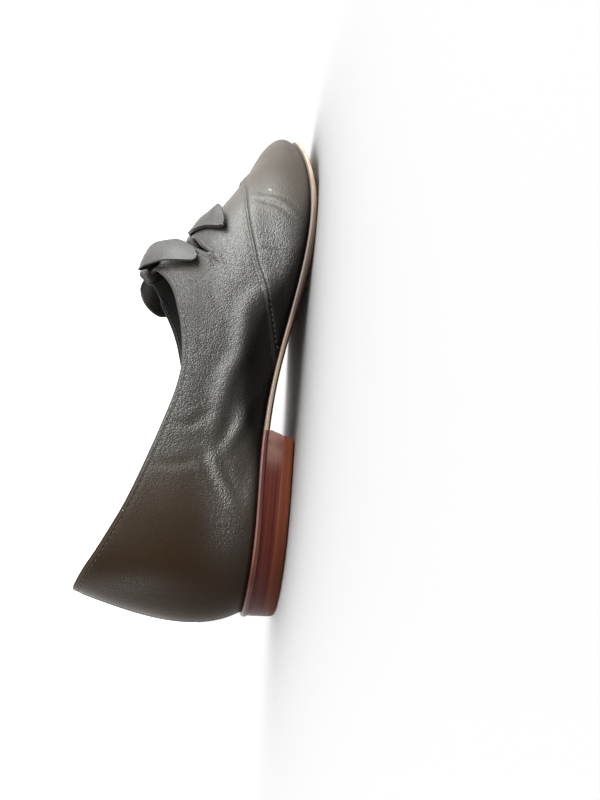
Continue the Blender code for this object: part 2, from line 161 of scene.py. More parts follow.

# Painted highlights: patches painted paler and less brown where the light catches the skin, with more grain
# and shine:
# place along and up the shoe, reach along and up, then more fading (the painted highlight), grain and
# shine, which also hides the brown
PAINTED_HIGHLIGHTS = (
    (-86, 25, 13, 8, 0.4, 0.6, 0.6),
    (-72, 33, 9, 5, 0.2, 0.4, 0.25),
    (-103, 23, 10, 8, 0.1, 0.9, 0.3),
    (-121, 54, 4, 16, 0.2, 0.4, 0.3),
    (-46, 27, 12, 3.5, 0.3, 0.0, 0.15),
    (24, 17, 12, 6, 0.2, 0.5, 0.7),
)

# Corners between the rear strap and the collar, and how far round them the rim is skin
STRAP_CORNERS = ((23.3, -12.2, 70.7), (23.3, 17.8, 70.7))
STRAP_REACH = 7

# Slope of the instep under each bow, in radians
BOW_SLOPES = {"front": 0.541, "rear": 0.682}

# Corners of the leaves that are drawn out: place, reach and move
LEAF_CORNERS = {
    "front": (
        ((41, -31, 45.9), 7, (-3.2, -1.2, -3.2)),
        ((54, -25, 43.3), 7, (0.9, 0, 2.8)),
        ((51, -16, 52), 6, (0.9, 0, 1.2)),
    ),
    "rear": (((22, -26, 58.2), 8, (-2, -2, -5.2)),),
}

# Pale flecks where the skin is knocked, with their size; the last two, on the tips of the leaves, are
# painted highlights
FLECKS = (
    ((60.9, -35.7, 23.4), 0.75),
    ((60.0, -36.1, 22.6), 0.5),
    ((-95.7, -25.6, 64.1), 0.32),
    ((-103, -25.5, 56.4), 0.35),
    ((-105.5, -25.0, 51.0), 0.22),
    ((-132.6, 0.8, 78.4), 0.8),
    ((-63.0, -27.8, 60.2), 0.35),
    ((-67.5, -27.9, 61.4), 0.3),
    # Painted highlights on the tips of the rear and the front leaf
    ((23.1, -27.9, 52.5), 0.9),
    ((37.9, -33.2, 42.6), 0.8),
)

# How far the top of each heel layer is raised, to close the gap above it
HEEL_RAISE = 0.6

# Folds sharper than this stay sharp on the sock, the sole and the heel
HARD_FOLD = math.radians(25)

# Tint of the lamps, and the place in metres that they point at
LAMP_COLOUR = (0.96, 1.0, 0.99)
LAMP_AIM = (0.02, 0, 0.03)


def smooth_line(points, cuts):
    """Rounded line through the points, with so many pieces between each two."""
    points = [Vector(point) for point in points]
    ends = [2 * points[0] - points[1], *points, 2 * points[-1] - points[-2]]
    line = []
    for before, start, stop, after in zip(ends, ends[1:], ends[2:], ends[3:]):
        lead, trail = start + (stop - before) / 6, stop - (after - start) / 6
        line += interpolate_bezier(start, lead, trail, stop, cuts + 1)[:-1]
    return line + [points[-1]]


def soft_step(value, start, stop):
    """0 before start and 1 after stop, with a smooth rise between."""
    share = np.clip((value - start) / (stop - start), 0, 1)
    return share * share * (3 - 2 * share)


def hump(value, middle, width):
    """Smooth hump of height 1."""
    return np.exp(-(((value - middle) / width) ** 2))


def tree_of(places):
    """Search tree over places, numbered in their order."""
    tree = KDTree(len(places))
    for number, place in enumerate(places):
        tree.insert(place, number)
    tree.balance()
    return tree


def smooth(bm, verts):
    """Moves points of a mesh halfway to the middle of their neighbours."""
    bmesh.ops.smooth_vert(bm, verts=verts, factor=0.5, use_axis_x=True, use_axis_y=True, use_axis_z=True)


def copied(node, patches=False):
    """A CAD node's mesh, merged and in quads where they fit. Patches between folds get numbers."""
    bm = bmesh.new()
    bm.from_mesh(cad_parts[node].data)
    bmesh.ops.remove_doubles(bm, verts=bm.verts, dist=1e-6)
    for face in bm.faces:
        face.material_index = 0
    if patches:
        number_patches(bm)
    bmesh.ops.join_triangles(
        bm, faces=bm.faces, cmp_materials=True, angle_face_threshold=math.radians(100),
        angle_shape_threshold=math.pi, topology_influence=2,
    )
    return bm


def number_patches(bm, fold=math.radians(50)):
    """Gives the smooth patches between sharp folds material numbers, from the largest to the smallest."""
    left = set(bm.faces)
    patches = []
    while left:
        patch = [left.pop()]
        for face in patch:
            for edge in face.edges:
                if edge.calc_face_angle(0) < fold:
                    near = [other for other in edge.link_faces if other in left]
                    left.difference_update(near)
                    patch += near
        patches.append(patch)
    patches.sort(key=lambda patch: -sum(face.calc_area() for face in patch))
    for number, patch in enumerate(patches):
        for face in patch:
            face.material_index = number


def refined(bm, levels, fold, sharpness=1.0):
    """The same shape, rounded, but sharp where it folds by more than the angle or meets a patch."""
    crease = bm.edges.layers.float.new("crease_edge")
    for edge in bm.edges:
        numbers = {face.material_index for face in edge.link_faces}
        edge[crease] = sharpness * (len(numbers) > 1 or edge.calc_face_angle(0) > fold)
    mesh = bpy.data.meshes.new("rough")
    bm.to_mesh(mesh)
    bm.free()
    rough = bpy.data.objects.new("rough", mesh)
    bpy.context.scene.collection.objects.link(rough)
    rounding = rough.modifiers.new("rounding", "SUBSURF")
    rounding.levels = rounding.render_levels = levels
    rounded = bmesh.new()
    rounded.from_object(rough, bpy.context.evaluated_depsgraph_get())
    bpy.data.objects.remove(rough)
    bpy.data.meshes.remove(mesh)
    return rounded


def place_arrays(bm):
    """Places in millimetres and outward directions of a mesh's points."""
    bm.normal_update()
    points = np.array([vert.co for vert in bm.verts]) / MM
    normals = np.array([vert.normal for vert in bm.verts])
    return points, normals


def push(bm, height, normals):
    """Moves the points of a mesh out by heights in millimetres."""
    for vert, move in zip(bm.verts, normals * height[:, None] * MM):
        vert.co += Vector(move)


def tug(bm, *pulls, ahead_of=None):
    """Draws a mesh softly by (place, reach, move) on both sides, or only ahead of x = a + b z."""
    points = place_arrays(bm)[0]
    share = np.ones(len(points))
    if ahead_of is not None:
        share = soft_step(points[:, 0] - ahead_of[0] - ahead_of[1] * points[:, 2], 0, 2.5)
    moves = np.zeros_like(points)
    for place, reach, move in pulls:
        for side in (1, -1):
            across = np.where(side > 0, points[:, 1], 2 * RIDGE_Y - points[:, 1])
            away = np.column_stack((points[:, 0], across, points[:, 2])) - place
            weight = share * np.exp(-(np.linalg.norm(away, axis=1) / reach) ** 2)
            moves += weight[:, None] * np.array(move) * (1, side, 1)
    for vert, move in zip(bm.verts, moves):
        vert.co += Vector(move) * MM


def finished(name, bm, finishes, slot, *nodes, sharp=None, values=None):
    """Makes a piece of the shoe from a mesh, and lets it stand for CAD nodes."""
    mesh = bpy.data.meshes.new(name)
    bm.to_mesh(mesh)
    bm.free()
    mesh.shade_smooth()
    if sharp is not None:
        mesh.set_sharp_from_angle(angle=sharp)
    for label, numbers in (values or {}).items():
        attribute = mesh.attributes.new(label, "FLOAT", "POINT")
        attribute.data.foreach_set("value", np.asarray(numbers, np.float32))
    for finish in finishes:
        mesh.materials.append(finish)
    shoe_piece = bpy.data.objects.new(name, mesh)
    bpy.context.scene.collection.objects.link(shoe_piece)
    bpy.data.collections["lit"].objects.link(shoe_piece)
    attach(shoe_piece, "root")
    if nodes:
        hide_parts(*nodes)
    return shoe_piece


class Finish:
    """A material made of nodes that read the piece's own coordinates."""

    def __init__(self, name, **values):
        self.material = bpy.data.materials.new(name)
        self.material.use_nodes = True
        self.nodes = self.material.node_tree.nodes
        self.links = self.material.node_tree.links
        self.shader = self.nodes["Principled BSDF"]
        self.coordinates = self.node("TexCoord").outputs["Object"]
        self.paint(**values)

    def paint(self, **values):
        """Sets the shader's sockets by their names, or links nodes to them."""
        for label, value in values.items():
            self.feed(self.shader, label.replace("_", " ").title().replace("Ior", "IOR"), value)

    def feed(self, node, label, value):
        socket = node.inputs[label]
        if isinstance(value, bpy.types.NodeSocket):
            self.links.new(value, socket)
        elif socket.type == "RGBA":
            socket.default_value = (*value, 1)
        else:
            socket.default_value = value

    def node(self, kind, settings=None, **inputs):
        node = self.nodes.new("ShaderNode" + kind)
        for label, value in (settings or {}).items():
            setattr(node, label, value)
        for label, value in inputs.items():
            self.feed(node, label.replace("_", " "), value)
        return node

    def noise(self, scale, detail=4.0, stretch=(1, 1, 1), distortion=0.0):
        mapping = self.node("Mapping", Vector=self.coordinates, Scale=stretch)
        return self.node(
            "TexNoise", Vector=mapping.outputs[0], Scale=scale, Detail=detail, Distortion=distortion,
        ).outputs["Fac"]

    def maths(self, operation, first, second=0.0):
        node = self.node("Math", {"operation": operation})
        self.feed(node, 0, first)
        self.feed(node, 1, second)
        return node.outputs[0]

    def spread(self, value, start, stop, low=0.0, high=1.0):
        node = self.node("MapRange", {"interpolation_type": "SMOOTHSTEP"}, Value=value)
        for label, number in (("From Min", start), ("From Max", stop), ("To Min", low), ("To Max", high)):
            self.feed(node, label, number)
        return node.outputs["Result"]

    def mix(self, share, first, second):
        node = self.node("Mix", {"data_type": "RGBA"})
        for place, value in ((0, share), (6, first), (7, second)):
            self.feed(node, place, value)
        return node.outputs[2]

    def value(self, label):
        return self.node("Attribute", {"attribute_name": label}).outputs["Fac"]

    def axis(self, label):
        return self.node("SeparateXYZ", Vector=self.coordinates).outputs[label]

    def facing_up(self):
        normal = self.node("NewGeometry").outputs["Normal"]
        return self.node("SeparateXYZ", Vector=normal).outputs["Z"]

    def spot(self, coordinates, place, radius):
        """1 inside a ball round a place in millimetres."""
        away = self.node("VectorMath", {"operation": "DISTANCE"})
        self.feed(away, 0, coordinates)
        self.feed(away, 1, tuple(v * MM for v in place))
        return self.spread(away.outputs["Value"], radius * MM, radius * MM * 0.55)

    def bump(self, height, strength, distance, under=None):
        node = self.node("Bump", Height=height, Strength=strength, Distance=distance)
        if under is not None:
            self.feed(node, "Normal", under)
        return node.outputs["Normal"]


def skin_leather(looks):
    """Black full-grain leather: pebbled, faded in front, browner at toe and back, with pale knocks and
    painted highlights on the leaves' tips; its fade, brown and gloss values also carry painted shade and
    painted highlights.
    """
    finish = Finish(
        "skin_leather", ior=1.45, sheen_weight=0.04, sheen_roughness=0.4, sheen_tint=(0.8, 0.76, 0.7),
        coat_weight=0.04, coat_roughness=0.3,
    )
    grain = finish.value("grain")
    cloud = finish.spread(finish.noise(22, detail=4), 0.3, 0.75, 0.7, 1.15)
    brown = finish.value("brown")
    base = finish.mix(brown, looks.skin, looks.skin_brown)
    faded = finish.mix(brown, looks.skin_faded, looks.skin_faded_brown)
    base = finish.mix(finish.maths("MULTIPLY", finish.value("fade"), cloud), base, faded)
    drift = finish.node("TexNoise", Vector=finish.coordinates, Scale=700.0, Detail=2.0).outputs["Color"]
    drift = finish.node("VectorMath", {"operation": "SCALE"}, Vector=drift, Scale=0.0005).outputs[0]
    bent = finish.node("VectorMath", {"operation": "ADD"})
    finish.feed(bent, 0, finish.coordinates)
    finish.feed(bent, 1, drift)
    knocks_and_glints = None
    # Pale knocks, and painted highlights at the tips of the leaves
    for place, radius in FLECKS:
        spot = finish.spot(bent.outputs[0], place, radius)
        knocks_and_glints = spot if knocks_and_glints is None else finish.maths("MAXIMUM", knocks_and_glints, spot)
    knocks_and_glints = finish.maths("MULTIPLY", knocks_and_glints, finish.spread(finish.noise(1800, detail=2), 0.4, 0.58))
    finish.paint(base_color=finish.mix(knocks_and_glints, base, looks.knock_and_glint))
    rough = finish.spread(finish.noise(45, detail=4), 0.3, 0.75, looks.shine, looks.shine + 0.12)
    finish.paint(roughness=rough)
    finish.paint(specular_ior_level=finish.value("gloss"))
    pebbles = finish.node(
        "TexVoronoi", {"feature": "SMOOTH_F1"}, Vector=bent.outputs[0], Scale=looks.grain_scale,
        Smoothness=0.4,
    ).outputs["Distance"]
    wrinkles = finish.noise(520, detail=3, distortion=0.6)
    pores = finish.noise(2600, detail=2)
    bump = finish.bump(finish.maths("SUBTRACT", 1.0, pebbles), grain, 0.0003)
    bump = finish.bump(wrinkles, finish.maths("MULTIPLY", grain, 0.4), 0.0006, bump)
    bump = finish.bump(pores, 0.15, 0.00012, bump)
    finish.paint(normal=bump)
    return finish.material


def lining_leather(looks):
    """Matt black lining, rubbed a little."""
    finish = Finish("lining_leather", roughness=0.62, ior=1.45, sheen_weight=0.2, sheen_roughness=0.6)
    worn = finish.spread(finish.noise(30, detail=5), 0.42, 0.72)
    finish.paint(base_color=finish.mix(worn, looks.lining, looks.lining_worn))
    fibres = finish.noise(1900, detail=4)
    finish.paint(normal=finish.bump(fibres, 0.35, 0.0002))
    return finish.material


def rim_leather(looks):
    """Cut edge of the upper, dyed black and rubbed pale in places."""
    finish = Finish("rim_leather", roughness=0.55, ior=1.45)
    rubbed = finish.spread(finish.noise(150, detail=5), 0.45, 0.7)
    finish.paint(base_color=finish.mix(rubbed, looks.skin, looks.rim_rubbed))
    finish.paint(normal=finish.bump(finish.noise(1300, detail=3), 0.4, 0.0002))
    return finish.material


def lap_path():
    """The vamp's edge right across the shoe, close set, in millimetres."""
    inner = [(x, 2 * RIDGE_Y - y, z) for x, y, z in reversed(LAP_OUTER)]
    return smooth_line([*LAP_OUTER, THROAT, *inner], 40)


def side_of_path(points, normals, path):
    """Distance of points from a path over the skin, above 0 to the right of it as it runs."""
    tree = tree_of(path)
    run = np.gradient(np.array(path), axis=0)
    run /= np.linalg.norm(run, axis=1, keepdims=True)
    found = [tree.find(point) for point in points]
    away = points - np.array([place for place, _, _ in found])
    gap = np.array([distance for _, _, distance in found])
    along = run[[number for _, number, _ in found]]
    side = np.einsum("ij,ij->i", away, np.cross(along, normals))
    flat = away - normals * np.einsum("ij,ij->i", away, normals)[:, None]
    near = np.where(gap < NEAR_LAP, np.linalg.norm(flat, axis=1), gap)
    return np.copysign(near, side)


def score(bm, layer, levels, snap=0.1):
    """Cuts the skin along the lines where a layer of values reaches the levels."""
    for level in levels:
        for vert in bm.verts:
            if abs(vert[layer] - level) < snap:
                vert[layer] = level
        cuts = {}
        for edge in bm.edges:
            start, stop = (vert[layer] - level for vert in edge.verts)
            if start * stop < 0 and abs(start - stop) < LONGEST_STEP and all(
                    face.material_index == SKIN for face in edge.link_faces):
                cuts[edge] = start / (start - stop)
        bmesh.ops.bisect_edges(bm, edges=list(cuts), cuts=1, edge_percents=cuts)
        on_line = [vert for vert in bm.verts if abs(vert[layer] - level) < ON_LEVEL]
        bmesh.ops.connect_verts(bm, verts=on_line)
        bmesh.ops.triangulate(bm, faces=[face for face in bm.faces if len(face.verts) > 4])
    bmesh.ops.dissolve_degenerate(bm, dist=0.04 * MM, edges=bm.edges)
    # A point with only two edges would let both its quads be split along the same line
    bmesh.ops.dissolve_verts(bm, verts=[vert for vert in bm.verts if len(vert.link_edges) == 2])


def chains_of(edges):
    """Points of edges in the order they hang together, one chain after another."""
    links = {}
    for edge in edges:
        one, other = edge.verts
        links.setdefault(one, []).append(other)
        links.setdefault(other, []).append(one)
    left = dict.fromkeys(sorted(links, key=lambda vert: len(links[vert]) == 2))
    chains = []
    while left:
        chain = [next(iter(left))]
        del left[chain[0]]
        while ahead := [vert for vert in links[chain[-1]] if vert in left]:
            if len(ahead) > 1 and len(chain) > 1:
                run = chain[-1].co - chain[-2].co
                ahead.sort(key=lambda vert: -run.dot((vert.co - chain[-1].co).normalized()))
            chain.append(ahead[0])
            del left[ahead[0]]
        chains.append(chain)
    return chains


def lines_at(bm, layer, level):
    """Chains of points along the cut at a level of a layer."""
    cut = [edge for edge in bm.edges if all(abs(vert[layer] - level) < ON_LEVEL for vert in edge.verts)]
    return chains_of(cut)


def leather_values(points):
    """Strength of the grain, fading and browning of the dye, and shine, for places in millimetres, with
    painted shade low on the sides and painted highlights in patches.
    """
    x, _, z = points.T
    # Painted shade: below this height the sides keep the dark dye, less brown and almost without shine
    low = np.interp(x, PAINTED_SHADE_PLACES, PAINTED_SHADE_HEIGHTS)
    above = soft_step(z, low - 4, low + 4)
    grain = np.interp(x, GRAIN_PLACES, GRAIN_SHARES)
    fade = np.interp(x, FADE_PLACES, FADE_SHARES) * above
    brown = np.interp(x, BROWN_PLACES, BROWN_SHARES) * (0.25 + 0.75 * above)
    gloss = np.interp(x, GLOSS_PLACES, GLOSS_SHARES) * (0.02 + 0.98 * above)
    # High on the quarter over the waist the leather is made duller and darker
    upper = soft_step(z, 35, 50) * soft_step(x, -40, -5)
    gloss = gloss * (1 - 0.6 * upper)
    fade = fade * (1 - 0.3 * upper)
    # Each patch pales the colour as a painted highlight, adds grain and shine, and takes out the brown as
    # painted sheen
    for at, up, long, high, painted_highlight, more_grain, more_gloss in PAINTED_HIGHLIGHTS:
        share = np.exp(-(((x - at) / long) ** 2) - ((z - up) / high) ** 2)
        fade = fade + painted_highlight * share
        grain = grain + more_grain * share
        gloss = gloss + more_gloss * share
        brown = brown * (1 - more_gloss * share)
    fade, gloss = np.clip(fade, 0, 1), np.clip(gloss, 0, 0.8)
    return {"grain": grain, "fade": fade, "brown": brown, "gloss": gloss}


def even_values(count, **shares):
    """The same values at every point."""
    return {label: np.full(count, share) for label, share in shares.items()}


def crease_height(points, normals):
    """Soft troughs and ridges over the sides of the upper, in millimetres."""
    height = np.zeros(len(points))
    for side, width, rise, places in SIDE_CREASES:
        line = np.array(smooth_line([(x, 0, z) for x, z in places], 6))
        tree = tree_of(line)
        reach = 4.5 * width
        low, high = line.min(axis=0) - reach, line.max(axis=0) + reach
        inside = (normals[:, 1] * side > 0.05) & (points[:, 0] > low[0]) & (points[:, 0] < high[0])
        inside &= (points[:, 2] > low[2]) & (points[:, 2] < high[2])
        for index in np.flatnonzero(inside):
            x, _, z = points[index]
            _, number, gap = tree.find((x, 0, z))
            along = number / (len(line) - 1)
            fade = math.sin(math.pi * min(max(along, 0.04), 0.96)) ** 0.7
            facing = min(1, 2.2 * side * normals[index, 1])
            shape = math.exp(-((gap / width) ** 2)) - 0.3 * math.exp(-(((gap - 2 * width) / width) ** 2))
            height[index] += rise * fade * facing * shape
    return height


def colour(name, description, default):
    """Setting that holds a colour."""
    return FloatVectorProperty(name=name, description=description, subtype="COLOR", default=default)


def length(name, description, default):
    """Setting that holds a length."""
    return FloatProperty(name=name, description=description, unit="LENGTH", default=default)


def room_place(name, description, default):
    """Setting that holds a place in the room."""
    return FloatVectorProperty(
        name=name, description=description, subtype="XYZ", unit="LENGTH", default=default)


class UpperLooks(bpy.types.PropertyGroup):
    """Sizes and colours of the sewn upper."""

    skin: colour("Skin", "Colour of the leather", (0.005, 0.0046, 0.0042))
    skin_brown: colour("Brown skin", "Colour where the black has gone brown", (0.0185, 0.0092, 0.003))
    skin_faded: colour("Faded skin", "Colour where the dye is worn", (0.037, 0.033, 0.0295))
    skin_faded_brown: colour("Faded brown skin", "Colour where brown dye is worn", (0.044, 0.033, 0.0225))
    knock_and_glint: colour("Knocks", "Colour of the bare flecks", (0.75, 0.72, 0.68))
    rim_rubbed: colour("Rubbed rim", "Colour of the worn edge", (0.045, 0.039, 0.034))
    lining: colour("Lining", "Colour of the lining", (0.012, 0.0115, 0.011))
    lining_worn: colour("Worn lining", "Colour where feet rub it", (0.035, 0.031, 0.028))
    shine: FloatProperty(
        name="Shine", description="Roughness of the smoothest skin", subtype="FACTOR",
        default=0.38, min=0, max=1)
    grain_scale: FloatProperty(
        name="Grain scale", description="Pebbles of the grain to a metre", default=1500, min=1)
    lap: length("Lap", "Height of the vamp's edge over the quarters", 0.85 * MM)
    lap_stitch: length("Lap stitch", "Stitch row's distance from the vamp's edge", 1.8 * MM)
    rim_stitch: length("Topline stitch", "Stitch row's distance from the topline", 1.75 * MM)
    bead: length("Topline bead", "Half thickness of the turned topline", 0.85 * MM)
    stitch: length("Stitch", "Length of a stitch", 1.75 * MM)
    stitch_gap: length("Stitch gap", "Space between two stitches", 0.75 * MM)
    thread: length("Thread", "Thickness of the thread", 0.5 * MM)
    thread_colour: colour("Thread colour", "Colour of the thread", (0.02, 0.019, 0.018))


class SHOE_OT_upper(bpy.types.Operator):
    """Sews the upper: lapped seams, turned topline, creases, lining and stitch rows"""

    bl_idname = "shoe.upper"
    bl_label = "Upper"

    def execute(self, context):
        looks = context.scene.flat_upper
        bm = copied("upper", patches=True)
        for face in bm.faces:
            face.material_index = min(face.material_index, RIM)
        bm = refined(bm, levels=2, fold=math.pi)
        inside = [vert for vert in bm.verts if len({face.material_index for face in vert.link_faces}) == 1]
        for _ in range(3):
            smooth(bm, inside)
        tug(bm, EYE_PULL, ahead_of=EYE_REAR)
        outside, bead = self.topline(bm)
        lap, rim = self.measure(bm, outside)
        lap_line, rim_line = looks.lap_stitch / MM, looks.rim_stitch / MM
        lap_row, rim_row = ((line - BESIDE_ROW, line, line + BESIDE_ROW) for line in (lap_line, rim_line))
        score(bm, lap, (*LAP_CUTS, *lap_row, LAST_LAP_CUT))
        score(bm, rim, rim_row)
        self.shape(bm, lap, rim, looks)
        for face in bm.faces:
            middle = face.calc_center_median() / MM
            away = min((middle - Vector(place)).length for place in STRAP_CORNERS)
            if face.material_index == RIM and away < STRAP_REACH:
                face.material_index = SKIN
        finishes = skin_leather(looks), lining_leather(looks), rim_leather(looks)
        self.sew(bm, looks, (lap, lap_line), (rim, rim_line))
        self.turn_topline(bead, looks, finishes[0])
        values = leather_values(place_arrays(bm)[0])
        finished("sewn_upper", bm, finishes, "black_leather", "upper", values=values)
        return {"FINISHED"}

    @staticmethod
    def topline(bm):
        """Places of the topline's outer edge and of the middle of its rim, round the shoe."""
        outer, inner = [], []
        for edge in bm.edges:
            numbers = {face.material_index for face in edge.link_faces}
            if RIM in numbers and len(numbers) == 2:
                (outer if SKIN in numbers else inner).append(edge)
        tree = tree_of([edge.verts[0].co for edge in inner])
        ring = max(chains_of(outer), key=lambda chain: max(vert.co.z for vert in chain))
        middle = [(vert.co + tree.find(vert.co)[0]) / 2 for vert in ring]
        return [vert.co / MM for vert in ring], middle

    @staticmethod
    def turn_topline(places, looks, finish):
        """Rounds the topline with a turned edge."""
        curve = bpy.data.curves.new("turned", "CURVE")
        curve.dimensions = "3D"
        curve.bevel_depth = looks.bead
        curve.bevel_resolution = 2
        line = curve.splines.new("POLY")
        line.points.add(len(places) - 1)
        line.points.foreach_set("co", [number for place in places for number in (*place, 1)])
        line.use_cyclic_u = True
        rough = bpy.data.objects.new("turned", curve)
        bpy.context.scene.collection.objects.link(rough)
        mesh = bpy.data.meshes.new_from_object(rough.evaluated_get(bpy.context.evaluated_depsgraph_get()))
        bm = bmesh.new()
        bm.from_mesh(mesh)
        bpy.data.objects.remove(rough)
        bpy.data.curves.remove(curve)
        bpy.data.meshes.remove(mesh)
        smooth(bm, bm.verts)
        bmesh.ops.recalc_face_normals(bm, faces=bm.faces)
        values = leather_values(place_arrays(bm)[0])
        values["grain"] = values["grain"] * 0.5
        values["gloss"] = values["gloss"] * 0.6
        finished("upper_topline", bm, [finish], "black_leather", values=values)

    @staticmethod
    def measure(bm, topline):
        """Layers with the distances in millimetres from the vamp's edge and from the topline."""
        lap = bm.verts.layers.float.new("lap")
        rim = bm.verts.layers.float.new("rim")
        points, normals = place_arrays(bm)
        ring = [one.lerp(other, share) for one, other in zip(topline, topline[1:] + topline[:1])
                for share in (0, 0.25, 0.5, 0.75)]
        tree = tree_of(ring)
        out = bm.verts.layers.float_vector.new("out")
        for vert, point, side in zip(bm.verts, points, side_of_path(points, normals, lap_path())):
            vert[out] = vert.normal
            vert[lap] = side
            vert[rim] = tree.find(point)[2]
        return lap, rim

    @staticmethod
    def shape(bm, lap, rim, looks):
        """Raises the lap and the turned topline, sinks the stitch rows and presses in the creases."""
        points = place_arrays(bm)[0]
        out = bm.verts.layers.float_vector["out"]
        normals = np.array([vert[out].normalized() for vert in bm.verts])
        from_lap = np.array([vert[lap] for vert in bm.verts])
        from_rim = np.array([vert[rim] for vert in bm.verts])
        skin = np.array([all(face.material_index == SKIN for face in vert.link_faces) for vert in bm.verts])
        edge = soft_step(from_lap, -0.15, 0.3) * (1 - soft_step(from_lap, 2.5, 11))
        height = looks.lap / MM * edge
        height -= 0.3 * hump(from_lap, -0.5, 0.5)
        height += 0.22 * hump(from_lap, 0.75, 0.5)
        height -= 0.42 * hump(from_lap, looks.lap_stitch / MM, 0.28)
        height -= 0.1 * hump(from_rim, looks.rim_stitch / MM, 0.35)
        height += crease_height(points, normals) * soft_step(from_rim, 0.5, 4)
        heel = points[:, 0] < -100
        back = np.abs(points[:, 1] - MIDDLE_Y)
        heel = heel * soft_step(points[:, 2], 13, 20) * soft_step(from_rim, 1, 4)
        height += heel * (0.3 * hump(back, 1.1, 0.7) - 0.45 * hump(back, 0, 0.45))
        height = np.where(height < 0, -DEEPEST * np.tanh(-height / DEEPEST), height)
        push(bm, height * skin, normals)
        bm.normal_update()

    @staticmethod
    def sew(bm, looks, *rows):
        """Lays thread along the stitch rows."""
        thread = bmesh.new()
        for layer, level in rows:
            for chain in lines_at(bm, layer, level):
                lay_stitches(thread, chain, looks)
        finish = Finish("thread", roughness=0.5, base_color=tuple(looks.thread_colour))
        twist = finish.noise(1500, detail=2)
        finish.paint(normal=finish.bump(twist, 0.4, 0.0002))
        finished("upper_stitches", thread, [finish.material], "black_leather")


def lay_stitches(thread, chain, looks):
    """Adds a row of stitches along a chain of points."""
    places = np.array([vert.co for vert in chain])
    outward = np.array([vert.normal for vert in chain])
    run = np.append(0, np.cumsum(np.linalg.norm(np.diff(places, axis=0), axis=1)))
    pitch = looks.stitch + looks.stitch_gap
    if run[-1] < 6 * pitch:
        return
    for middle in np.arange(pitch / 2, run[-1] - pitch / 2, pitch):
        start, stop = (Vector([np.interp(middle + move, run, places[:, axis]) for axis in range(3)])
                       for move in (-looks.stitch / 2, looks.stitch / 2))
        if (stop - start).length < 0.8 * looks.stitch:
            continue
        up = Vector([np.interp(middle, run, outward[:, axis]) for axis in range(3)]).normalized()
        along = (stop - start).normalized()
        side = up.cross(along).normalized()
        turn = Matrix((along, side, along.cross(side))).transposed().to_4x4()
        size = Matrix.Diagonal((looks.stitch, looks.thread, looks.thread * 0.8, 1))
        place = Matrix.Translation((start + stop) / 2 + up * looks.thread * 0.1)
        bmesh.ops.create_uvsphere(
            thread, u_segments=6, v_segments=5, radius=0.5,
            matrix=place @ turn @ size @ Matrix.Rotation(math.pi / 2, 4, "Y"))


class BowLooks(bpy.types.PropertyGroup):
    """Sizes of the bows and their knots."""

    thinning: length("Thinning", "Skived off each side of a leaf", 0.3 * MM)
    pleat: length("Pleats", "Depth of the pleats at the knot", 0.35 * MM)
    knot_long: length("Knot length", "Length of a knot over the instep", 17.6 * MM)
    knot_wide: length("Knot width", "Width of a knot", 6.4 * MM)
    knot_high: length("Knot height", "Height of a knot from under the straps", 10 * MM)


class SHOE_OT_bows(bpy.types.Operator):
    """Ties the two bows: curled leaves with pleats that run into folded knots"""

    bl_idname = "shoe.bows"
    bl_label = "Bows"

    def execute(self, context):
        looks = context.scene.flat_bows
        finish = bpy.data.materials["skin_leather"]
        for place, slope in BOW_SLOPES.items():
            low, high = (Vector(corner) for corner in self.box(place + "_knot"))
            middle = (low + high) / 2
            self.leaves(place, middle / MM, looks, finish)
            self.knot(place, middle, slope, looks, finish)
        return {"FINISHED"}

    @staticmethod
    def box(node):
        """Lowest and highest corner of a CAD node."""
        corners = np.array([vert.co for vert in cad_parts[node].data.vertices])
        return corners.min(axis=0), corners.max(axis=0)

    @staticmethod
    def leaves(place, middle, looks, finish):
        """Thins a bow's leaves to cut leather with rounded edges, gathered towards the knot."""
        bm = copied(place + "_bow", patches=True)
        for face in bm.faces:
            face.material_index = min(face.material_index, 2)
        bm = refined(bm, levels=3, fold=math.pi, sharpness=0.55)
        for face in bm.faces:
            face.material_index = 0
        tug(bm, *LEAF_CORNERS[place])
        points, normals = place_arrays(bm)
        out = np.abs(points[:, 1] - middle.y)
        facing = np.clip(normals[:, 2] * 3, -1, 1)
        pleats = np.cos((points[:, 0] - middle.x) * 1.7) * hump(out, 5.5, 4)
        push(bm, looks.pleat / MM * pleats * facing - looks.thinning / MM * np.abs(facing), normals)
        count = len(points)
        finished(place + "_leaves", bm, [finish], "black_leather", place + "_bow",
                 values=even_values(count, grain=0.4, fade=0.65, brown=0.1, gloss=0.25))

    @staticmethod
    def knot(place, middle, slope, looks, finish):
        """Folds a band round the gathered leaves and the straps."""
        bm = bmesh.new()
        bmesh.ops.create_cube(bm, size=2)
        bmesh.ops.subdivide_edges(bm, edges=bm.edges, cuts=23, use_grid_fill=True)
        ahead = Vector((math.cos(slope), 0, -math.sin(slope)))
        up = Vector((math.sin(slope), 0, math.cos(slope)))
        turn = Matrix((ahead, Vector((0, 1, 0)), up)).transposed()
        size = Vector((looks.knot_long, looks.knot_wide, looks.knot_high)) / 2
        for vert in bm.verts:
            boxy = sum(abs(axis) ** 4.5 for axis in vert.co) ** (1 / 4.5)
            along, side, above = vert.co / boxy
            folds = 0.045 * math.cos(side * 7.5 + 0.8 * math.sin(along * 2.5)) * (1 - side * side)
            squeeze = 1 - 0.12 * math.cos(along * math.pi / 2)
            shape = Vector((along * (1 + folds), side * squeeze, above * (1 + 1.6 * folds)))
            vert.co = middle + turn @ (shape * size)
        count = len(bm.verts)
        finished(place + "_band", bm, [finish], "black_leather", place + "_knot",
                 values=even_values(count, grain=0.4, fade=0.4, brown=0.1, gloss=0.35))


